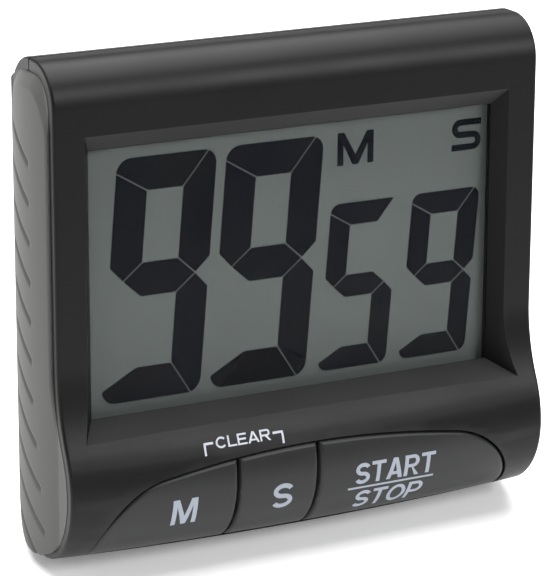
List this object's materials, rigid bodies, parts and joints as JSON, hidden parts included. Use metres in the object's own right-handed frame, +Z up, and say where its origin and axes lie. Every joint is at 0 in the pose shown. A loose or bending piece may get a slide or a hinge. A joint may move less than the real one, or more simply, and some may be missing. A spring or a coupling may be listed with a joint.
{
  "type": "digital countdown timer",
  "caption": "Upright digital count-down timer with a large LCD, press keys under a swelling lower face, soft side grips and a fold-out back stand.",
  "frame": {"origin": "centre of the bounding box on the table the timer stands on", "axes": "+X to the right seen from the front, -Y towards the user, +Z up; the case leans back 14 degrees on its stand"},
  "size_m": [0.0804, 0.036, 0.074],
  "materials": {
    "black_abs": "fine satin texture",
    "grip_grey": "soft satin",
    "window_clear": "clear, glossy",
    "border_ink": "printed ink",
    "lcd_clear": "clear",
    "lcd_dark": "dark liquid-crystal image",
    "lcd_reflector": "grey-green reflective film",
    "frame_black": "natural",
    "zebra_grey": "striped silicone",
    "board_green": "solder mask",
    "epoxy_black": "domed epoxy",
    "can_metal": "plated",
    "keypad_rubber": "silicone",
    "carbon": "carbon pill",
    "buzzer_brass": "thin disc",
    "buzzer_white": "silvered ceramic",
    "lead_red": "insulation",
    "lead_black": "insulation",
    "cell_steel": "nickel plated",
    "magnet_nickel": "plated disc",
    "screw_black": "black zinc"
  },
  "bodies": {
    "case": {"front_housing": "black_abs", "rear_housing": "black_abs", "left_grip": "grip_grey", "right_grip": "grip_grey", "display_window": "window_clear", "window_border": "border_ink", "lcd_front_film": "lcd_clear", "lcd_front_glass": "lcd_clear", "lcd_image": "lcd_dark", "lcd_rear_glass": "lcd_clear", "lcd_rear_film": "lcd_reflector", "lcd_frame": "frame_black", "zebra_strip": "zebra_grey", "main_board": "board_green", "board_screws": "can_metal", "controller_blob": "epoxy_black", "crystal": "can_metal", "keypad": "keypad_rubber", "keypad_pills": "carbon", "buzzer_disc": "buzzer_brass", "buzzer_ceramic": "buzzer_white", "buzzer_lead_live": "lead_red", "buzzer_lead_return": "lead_black", "battery_lead_positive": "lead_red", "battery_lead_negative": "lead_black", "coin_cell": "cell_steel", "positive_contact": "can_metal", "negative_contact": "can_metal", "left_magnet": "magnet_nickel", "right_magnet": "magnet_nickel", "case_screws": "screw_black"},
    "stand": {"stand": "black_abs"},
    "battery_door": {"battery_door": "black_abs"},
    "button_m": {"button_m": "black_abs"},
    "button_s": {"button_s": "black_abs"},
    "button_start_stop": {"button_start_stop": "black_abs"}
  },
  "joints": [
    {"name": "stand_fold", "type": "hinge", "parent": "case", "child": "stand", "pos_m": [0, 0.00882, 0.04467], "axis": [1, 0, 0], "range_deg": [-24.5, 0]},
    {"name": "battery_door_turn", "type": "hinge", "parent": "case", "child": "battery_door", "pos_m": [0.025, 0.00253, 0.02151], "axis": [0, 0.9703, -0.2419], "range_deg": [0, 40]},
    {"name": "button_m_press", "type": "slide", "parent": "case", "child": "button_m", "axis": [0, 0.9703, -0.2419], "range_m": [0, 0.0008], "stiffness_N_per_m": 900, "springref_m": -0.0002, "deforming": ["keypad"]},
    {"name": "button_s_press", "type": "slide", "parent": "case", "child": "button_s", "axis": [0, 0.9703, -0.2419], "range_m": [0, 0.0008], "stiffness_N_per_m": 900, "springref_m": -0.0002, "deforming": ["keypad"]},
    {"name": "button_start_stop_press", "type": "slide", "parent": "case", "child": "button_start_stop", "axis": [0, 0.9703, -0.2419], "range_m": [0, 0.0008], "stiffness_N_per_m": 900, "springref_m": -0.0002, "deforming": ["keypad"]}
  ]
}
